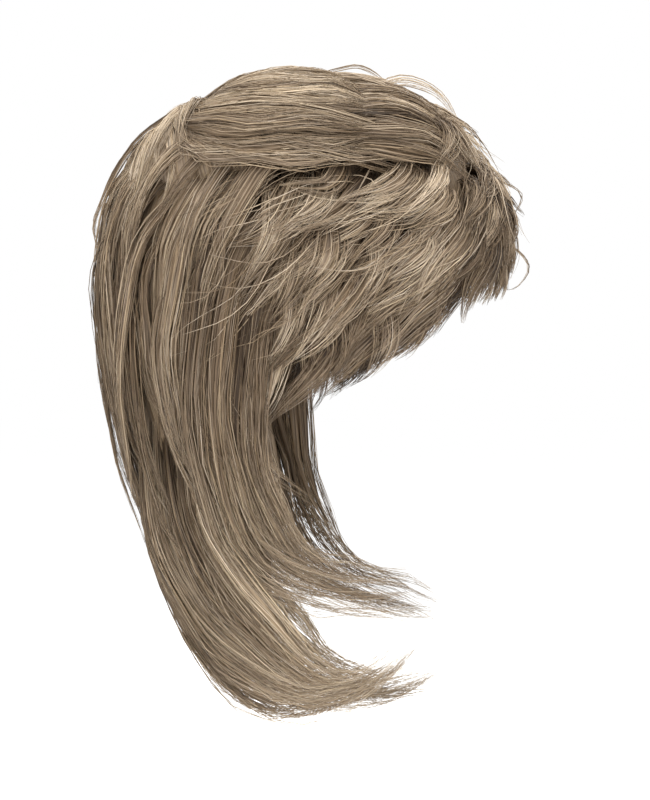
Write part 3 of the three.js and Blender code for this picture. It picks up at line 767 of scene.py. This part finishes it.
def tube_maps(first, shape, kind, total):
    """Places on the bake's map: one cell for each tube, in its kind's band."""
    tubes, rings, sides = shape
    low, high = MAP_BANDS[kind]
    columns = math.ceil(math.sqrt(total / (high - low)))
    size = np.array([1 / columns, (high - low) / math.ceil(total / columns)])
    cell = first + np.arange(tubes)
    corner = np.stack([cell % columns, cell // columns], -1) * size + (0, low)
    side, ring = np.meshgrid(np.arange(sides), np.arange(rings - 1))
    u = np.stack([side, side, side + 1, side + 1], -1) / sides
    v = np.stack([ring, ring + 1, ring + 1, ring], -1) / (rings - 1)
    (left, wide), (bottom, tall) = MAP_WALL
    wall = np.stack([left + wide * u, bottom + tall * v], -1).reshape(-1, 2)
    angle = np.arange(sides) * 2 * np.pi / sides
    (middle, reach), (base, rise) = MAP_END
    end = np.stack([middle + reach * np.cos(angle), base + rise * np.sin(angle)], -1)
    walls = corner[:, None] + wall * size
    ends = np.concatenate([corner[:, None] + end * size, corner[:, None] + (1 - end) * size])
    return walls.reshape(-1, 2), ends.reshape(-1, 2)


def tube_mesh(name, sets):
    """One mesh of all tubes, with tone and fibre kept on its vertices."""
    totals, used = dict.fromkeys(MAP_BANDS, 0), dict.fromkeys(MAP_BANDS, 0)
    for s in sets:
        totals[s.kind] += len(s.rings)
    parts, first = [], 0
    for s in sets:
        shape = s.rings.shape[:3]
        parts.append((
            s.rings.reshape(-1, 3) * MM,
            np.broadcast_to(s.tone[..., None], shape).reshape(-1),
            s.fibre.reshape(-1, 3),
            *tube_faces(first, shape),
            *tube_maps(used[s.kind], shape, s.kind, totals[s.kind]),
        ))
        first += math.prod(shape)
        used[s.kind] += shape[0]
    vertices, tones, fibres, walls, ends, wall_maps, end_maps = zip(*parts)
    corners = np.concatenate([np.concatenate(walls).reshape(-1), *(e.reshape(-1) for e in ends)])
    sizes = np.concatenate([np.full(sum(map(len, walls)), 4), *(np.full(len(e), e.shape[1]) for e in ends)])
    maps = np.concatenate(wall_maps + end_maps)
    mesh = bpy.data.meshes.new(name)
    points = np.concatenate(vertices)
    mesh.vertices.add(len(points))
    mesh.vertices.foreach_set("co", points.reshape(-1).astype(np.float32))
    mesh.loops.add(len(corners))
    mesh.loops.foreach_set("vertex_index", corners.astype(np.int32))
    mesh.polygons.add(len(sizes))
    mesh.polygons.foreach_set("loop_start", (np.cumsum(sizes) - sizes).astype(np.int32))
    mesh.update(calc_edges=True)
    mesh.polygons.foreach_set("use_smooth", np.ones(len(sizes), bool))
    mesh.uv_layers.new(name="OFBake").uv.foreach_set("vector", maps.reshape(-1).astype(np.float32))
    for key, kind, values, field in (
        ("tone", "FLOAT", tones, "value"),
        ("fibre", "FLOAT_VECTOR", fibres, "vector"),
    ):
        data = np.concatenate(values).reshape(-1).astype(np.float32)
        mesh.attributes.new(key, kind, "POINT").data.foreach_set(field, data)
    mesh.validate()
    piece = bpy.data.objects.new(name, mesh)
    bpy.context.scene.collection.objects.link(piece)
    return piece


def lock_sets(rng, locks, steps):
    """Bodies and strands of locks."""
    return [body_tubes(rng, locks), strand_tubes(rng, locks, steps)]


def tier_sets(rng, tiers, top, bottom, style, sign=1, steps=STRAND_STEPS):
    """Locks of a mass's tiers, darker row by row as painted shade towards the lower edge. The lowest rows
    curl less, which keeps the edge even.
    """
    sets = []
    for row, tier in enumerate(tiers):
        points = tier_points(rng, tier, top, bottom, sign)
        curl = style.curl * (EDGE_CURL if row >= len(tiers) - EDGE_ROWS else 1)
        # Each row is darker than the one above it: painted shade towards the lower edge
        row_style = style._replace(tone=style.tone - style.row * row, curl=curl)
        locks = make_locks(rng, points, tier.width, tier.thick, tier.strands, row_style, tier.flick)
        sets += lock_sets(rng, locks, steps)
    return sets


def veil_sets(rng, tiers, top, bottom, sign=1, steps=STRAND_STEPS):
    """Loose strands of tiers, without bodies."""
    sets = []
    for tier in tiers:
        points = tier_points(rng, tier, top, bottom, sign)
        locks = make_locks(rng, points, tier.width, tier.thick, tier.strands, STYLES["veils"], tier.flick)
        sets.append(strand_tubes(rng, locks, steps))
    return sets


def fall_sets(rng, falls, style, steps):
    """Locks of falls or bands on both sides."""
    sets = []
    for fall in falls:
        fall_style = style._replace(tone=style.tone + fall.tone)
        for sign in (1, -1):
            points = fall_points(rng, fall, sign)
            locks = make_locks(rng, points, fall.width, fall.thick, fall.strands, fall_style)
            sets += lock_sets(rng, locks, steps)
    return sets


def stray_sets(rng, strays, style):
    """Strands of the stray locks."""
    sets = []
    for stray in strays:
        locks = make_locks(rng, stray_points(rng, stray), stray.width, stray.width / 2, stray.strands, style)
        sets.append(strand_tubes(rng, locks, LONG_STRAND_STEPS))
    return sets


def crown_sets(rng, tiers):
    """Locks of the crown's tiers."""
    sets = []
    for tier in tiers:
        points = crown_points(rng, tier)
        style = STYLES["crown"]._replace(tone=STYLES["crown"].tone + tier.tone)
        locks = make_locks(rng, points, tier.width, tier.thick, tier.strands, style)
        sets += lock_sets(rng, locks, CROWN_STRAND_STEPS)
    return sets


def new_finish(name, roughness):
    """A new material, with its tree and its shader."""
    material = bpy.data.materials.new(name)
    material.use_nodes = True
    tree = material.node_tree
    shader = tree.nodes["Principled BSDF"]
    shader.inputs["Roughness"].default_value = roughness
    return material, tree, shader


def add_noise(tree, place, stretch, detail):
    """Noise over a place that is stretched axis by axis."""
    stretched = tree.nodes.new("ShaderNodeVectorMath")
    stretched.operation = "MULTIPLY"
    stretched.inputs[1].default_value = stretch
    tree.links.new(place, stretched.inputs[0])
    noise = tree.nodes.new("ShaderNodeTexNoise")
    noise.inputs["Scale"].default_value = 1.0
    noise.inputs["Detail"].default_value = detail
    tree.links.new(stretched.outputs["Vector"], noise.inputs["Vector"])
    return noise.outputs["Fac"]


def add_ramp(tree, value, stops):
    """Colours by value, from stop to stop."""
    colours = tree.nodes.new("ShaderNodeValToRGB")
    ramp = colours.color_ramp
    while len(ramp.elements) < len(stops):
        ramp.elements.new(0.5)
    for element, (at, colour) in zip(ramp.elements, stops):
        element.position = at
        element.color = (*colour, 1)
    tree.links.new(value, colours.inputs["Fac"])
    return colours.outputs["Color"]


def add_relief(tree, shader, height, relief, invert=False):
    """Fine relief on a shader, by strength and distance."""
    bump = tree.nodes.new("ShaderNodeBump")
    bump.invert = invert
    bump.inputs["Strength"].default_value, bump.inputs["Distance"].default_value = relief
    tree.links.new(height, bump.inputs["Height"])
    tree.links.new(bump.outputs["Normal"], shader.inputs["Normal"])


def hair_finish(name):
    """Dyed fibre: tones lock by lock and strand by strand, with painted shade and painted highlights carried
    in the same tone, fine streaks and a soft shine.
    """
    material, tree, shader = new_finish(name, HAIR_ROUGHNESS)
    shader.inputs["Specular IOR Level"].default_value = HAIR_SPECULAR
    tone, fibre = (tree.nodes.new("ShaderNodeAttribute") for _ in range(2))
    tone.attribute_name, fibre.attribute_name = "tone", "fibre"

    streaks = add_noise(tree, fibre.outputs["Vector"], STREAKS["stretch"], STREAKS["detail"])
    streaked = tree.nodes.new("ShaderNodeMapRange")
    for key, value in zip(("From Min", "From Max", "To Min", "To Max"), STREAKS["range"]):
        streaked.inputs[key].default_value = value
    tree.links.new(streaks, streaked.inputs["Value"])
    place = tree.nodes.new("ShaderNodeMath")
    tree.links.new(tone.outputs["Fac"], place.inputs[0])
    tree.links.new(streaked.outputs["Result"], place.inputs[1])
    colours = add_ramp(tree, place.outputs[0], HAIR_TONES)

    hues = add_noise(tree, fibre.outputs["Vector"], HUES["stretch"], HUES["detail"])
    tints = add_ramp(tree, hues, HAIR_TINTS)
    tinted = tree.nodes.new("ShaderNodeMix")
    tinted.data_type, tinted.blend_type = "RGBA", "MULTIPLY"
    tinted.inputs["Factor"].default_value = 1.0
    tree.links.new(colours, tinted.inputs["A"])
    tree.links.new(tints, tinted.inputs["B"])
    tree.links.new(tinted.outputs["Result"], shader.inputs["Base Color"])
    add_relief(tree, shader, streaks, HAIR_RELIEF)
    return material


def net_finish(name):
    """Stretch net: a fine knit of dark thread, with the holes between painted dark as the shade seen through
    them.
    """
    material, tree, shader = new_finish(name, NET_ROUGHNESS)
    place = tree.nodes.new("ShaderNodeTexCoord")
    knit = tree.nodes.new("ShaderNodeTexVoronoi")
    knit.feature = "DISTANCE_TO_EDGE"
    knit.inputs["Scale"].default_value = NET_SCALE
    tree.links.new(place.outputs["Object"], knit.inputs["Vector"])
    tree.links.new(add_ramp(tree, knit.outputs["Distance"], NET_TONES_WITH_SHADED_HOLES), shader.inputs["Base Color"])
    add_relief(tree, shader, knit.outputs["Distance"], NET_RELIEF, invert=True)
    return material


def deselect():
    """Leaves nothing selected, so that an operator acts on what is added next."""
    bpy.ops.object.select_all(action="DESELECT")


def select_only(*pieces):
    """Selects pieces, the first of them active."""
    deselect()
    for piece in pieces:
        piece.select_set(True)
    bpy.context.view_layer.objects.active = pieces[0]


def cap_wall():
    """The cap's wall, still without thickness: half a sphere drawn over the head's form down to the rim."""
    deselect()
    bpy.ops.mesh.primitive_uv_sphere_add(segments=CAP_SEGMENTS, ring_count=CAP_RINGS, radius=1)
    wall = bpy.context.object
    wall.name = "cap_net"
    bpy.ops.object.mode_set(mode="EDIT")
    bpy.ops.mesh.select_all(action="SELECT")
    bpy.ops.mesh.bisect(plane_co=(0, 0, 0), plane_no=(0, 0, 1), clear_inner=True)
    bpy.ops.object.mode_set(mode="OBJECT")
    ball = np.array([v.co for v in wall.data.vertices])
    azimuth = np.degrees(np.arctan2(ball[:, 0], -ball[:, 1]))
    share = np.arccos(np.clip(ball[:, 2], 0, 1)) / (np.pi / 2)
    level = share * edge_level(CAP_RIM, azimuth)
    placed = on_section(section_at(cap_sections(CAP_WALL / 2), level), azimuth) * MM
    wall.data.vertices.foreach_set("co", placed.reshape(-1).astype(np.float32))
    wall.data.update()
    return wall


def cap_hem(wall):
    """The hem along the cap's rim: the rim's edge taken off and given a round section."""
    select_only(wall)
    bpy.ops.object.mode_set(mode="EDIT")
    bpy.ops.mesh.select_all(action="SELECT")
    bpy.ops.mesh.region_to_loop()
    bpy.ops.mesh.duplicate()
    bpy.ops.mesh.separate(type="SELECTED")
    bpy.ops.object.mode_set(mode="OBJECT")
    hem = next(o for o in bpy.context.selected_objects if o is not wall)
    select_only(hem)
    bpy.ops.object.convert(target="CURVE")
    hem.data.bevel_depth = HEM_RADIUS * MM
    hem.data.bevel_resolution = HEM_ROUNDING
    bpy.ops.object.convert(target="MESH")
    bpy.ops.object.shade_smooth()
    return hem


def make_cap():
    """The cap: its net wall, given thickness, and its hem, joined."""
    wall = cap_wall()
    hem = cap_hem(wall)
    select_only(wall)
    thick = wall.modifiers.new("wall", "SOLIDIFY")
    thick.thickness = CAP_WALL * NET_SHARE * MM
    thick.offset = 0
    bpy.ops.object.modifier_apply(modifier=thick.name)
    bpy.ops.object.shade_smooth()
    select_only(wall, hem)
    bpy.ops.object.join()
    return wall


def finish_piece(piece, node, material):
    """Gives a piece its material, attaches it to the root and hides the node it takes the place of."""
    piece.data.materials.clear()
    piece.data.materials.append(material)
    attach(piece, "root")
    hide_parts(node)


def make_hair():
    """Every mass of hair, in the place of its solid."""
    crown = np.random.default_rng(SEEDS["crown"])
    sets = [sheet_tube(crown_sheet_points(CROWN_SHEET))]
    sets += crown_sets(crown, CROWN_TIERS)
    sets += fall_sets(crown, CROWN_BANDS, STYLES["bands"], CROWN_STRAND_STEPS)
    sets += stray_sets(crown, CROWN_STRAYS, STYLES["crown strays"])
    sets += crown_sets(crown, CROWN_FRONT)
    finish_piece(tube_mesh("crown_strands", sets), "crown_hair", hair_finish("crown_fibre"))

    brow = np.random.default_rng(SEEDS["bangs"])
    sets = [sheet_tube(sheet_points(brow, BANGS_SHEET, CROWN_EDGE, FACE_EDGE, 1))]
    sets += tier_sets(brow, BANGS_TIERS, CROWN_EDGE, FACE_EDGE, STYLES["bangs"])
    sets += veil_sets(brow, BANGS_VEILS, CROWN_EDGE, FACE_EDGE)
    sets += stray_sets(brow, BANGS_STRAYS, STYLES["bangs strays"])
    finish_piece(tube_mesh("bangs_strands", sets), "bangs", hair_finish("bangs_fibre"))

    side_fibre = hair_finish("side_fibre")
    for name, sign in (("right", -1), ("left", 1)):
        side = np.random.default_rng(SEEDS[name])
        sets = [sheet_tube(sheet_points(side, SIDE_SHEET, CROWN_EDGE, FACE_EDGE, sign))]
        sets += tier_sets(side, SIDE_TIERS, CROWN_EDGE, FACE_EDGE, STYLES["sides"], sign)
        sets += veil_sets(side, SIDE_VEILS, CROWN_EDGE, FACE_EDGE, sign)
        finish_piece(tube_mesh(f"side_strands_{name}", sets), f"side_hair_{name}", side_fibre)

    back = np.random.default_rng(SEEDS["back"])
    sets = [sheet_tube(sheet_points(back, BACK_SHEET, CROWN_EDGE, BACK_EDGE, 1))]
    sets += tier_sets(back, BACK_TIERS, CROWN_EDGE, BACK_EDGE, STYLES["back"], 1, BACK_STRAND_STEPS)
    sets += fall_sets(back, BACK_FALLS, STYLES["back falls"], FALL_STRAND_STEPS)
    sets += stray_sets(back, BACK_STRAYS, STYLES["back strays"])
    finish_piece(tube_mesh("back_strands", sets), "back_hair", hair_finish("back_fibre"))

    nape = np.random.default_rng(SEEDS["nape"])
    sets = [sheet_tube(sheet_points(nape, NAPE_SHEET, NAPE_TOP, NAPE_EDGE, 1))]
    sets += tier_sets(nape, NAPE_TIERS, NAPE_TOP, NAPE_EDGE, STYLES["nape"], 1, BACK_STRAND_STEPS)
    sets += veil_sets(nape, NAPE_CURTAIN, NAPE_TOP, NAPE_EDGE, 1, BACK_STRAND_STEPS)
    sets += fall_sets(nape, NAPE_FALLS, STYLES["nape falls"], LONG_STRAND_STEPS)
    finish_piece(tube_mesh("nape_strands", sets), "nape_hair", hair_finish("nape_fibre"))


def make_stage():
    """A wide pale floor."""
    deselect()
    bpy.ops.mesh.primitive_circle_add(vertices=FLOOR_CORNERS, radius=FLOOR_RADIUS, fill_type="NGON")
    floor = bpy.context.object
    floor.name = "floor"
    bpy.ops.object.mode_set(mode="EDIT")
    bpy.ops.mesh.select_all(action="SELECT")
    bpy.ops.transform.translate(value=(0, 0, FLOOR_LEVEL))
    bpy.ops.object.mode_set(mode="OBJECT")
    paper, _, shader = new_finish("pale_paper", 1.0)
    shader.inputs["Base Color"].default_value = (1.0, 1.0, 1.0, 1)
    shader.inputs["Specular IOR Level"].default_value = 0.0
    floor.data.materials.append(paper)


def make_lights():
    """Soft white light from all round, with large lamps at the sides and above."""
    for lamp in LAMPS:
        light = bpy.data.lights.new(lamp.name, "AREA")
        light.shape, light.size, light.energy = "DISK", lamp.size, lamp.power
        holder = bpy.data.objects.new(lamp.name, light)
        holder.location = lamp.place
        towards = np.array(LAMP_TARGET) - np.array(lamp.place)
        level = math.hypot(towards[0], towards[1])
        holder.rotation_euler = (math.pi / 2 + math.atan2(towards[2], level), 0,
                                 math.atan2(towards[1], towards[0]) - math.pi / 2)
        bpy.context.scene.collection.objects.link(holder)
    sky = bpy.data.worlds.new("studio")
    sky.use_nodes = True
    sky.node_tree.nodes["Background"].inputs["Color"].default_value = (1, 1, 1, 1)
    sky.node_tree.nodes["Background"].inputs["Strength"].default_value = 1.0
    bpy.context.scene.world = sky
    bpy.context.scene.view_settings.view_transform = "Standard"


def make_camera():
    """The camera, level with the wig and square to its right side."""
    lens = bpy.data.cameras.new("camera")
    lens.sensor_width, lens.lens = SENSOR, LENS
    holder = bpy.data.objects.new("camera", lens)
    holder.location = (-PHOTO_DISTANCE, PHOTO_CENTRE[0] * MM, PHOTO_CENTRE[1] * MM)
    holder.rotation_euler = (math.pi / 2, 0, -math.pi / 2)
    bpy.context.scene.collection.objects.link(holder)
    bpy.context.scene.camera = holder


make_camera()
make_hair()
cap = make_cap()
finish_piece(cap, "cap", net_finish("cap_knit"))
make_stage()
make_lights()
